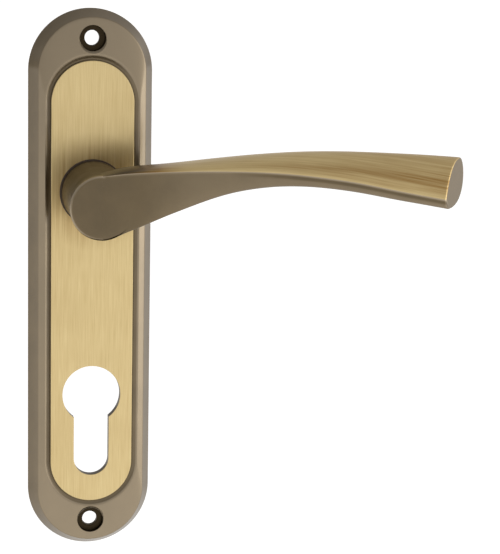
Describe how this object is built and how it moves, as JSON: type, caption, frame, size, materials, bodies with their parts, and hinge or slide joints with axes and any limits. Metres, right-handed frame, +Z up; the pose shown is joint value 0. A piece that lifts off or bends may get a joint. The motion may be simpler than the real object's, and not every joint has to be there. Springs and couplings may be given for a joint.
{
  "type": "door lever handle on backplate",
  "caption": "Sprung door lever handle on a long round-ended backplate, with a euro-profile cut-out below the lever and countersunk screw holes at the ends.",
  "frame": {"origin": "on the spindle axis, at the plane of the door behind the backplate", "axes": "+X towards the lever's tip, +Y into the door, +Z up"},
  "size_m": [0.1257, 0.045, 0.165],
  "materials": {
    "backplate_plated_zinc": "antique bronze, centre panel brushed lengthwise",
    "lever_plated_zinc": "antique bronze, upper face brushed lengthwise",
    "bush_nylon": "moulded",
    "zinc_plated_steel": "stamped and zinc plated",
    "spring_steel": "oiled spring steel",
    "black_steel": "black oxide"
  },
  "bodies": {
    "plate": {"backplate": "backplate_plated_zinc", "neck_bush": "bush_nylon", "thrust_washer": "zinc_plated_steel", "return_spring": "spring_steel"},
    "handle": {"lever": "lever_plated_zinc", "stop_plate": "zinc_plated_steel", "circlip": "spring_steel", "grub_screw": "black_steel"}
  },
  "joints": [
    {"name": "lever_turn", "type": "hinge", "parent": "plate", "child": "handle", "pos_m": [0, 0, 0], "axis": [0, 1, 0], "range_deg": [0, 45], "stiffness_Nm_per_rad": 0.5, "springref_deg": -34.38, "deforming": ["return_spring"]}
  ]
}
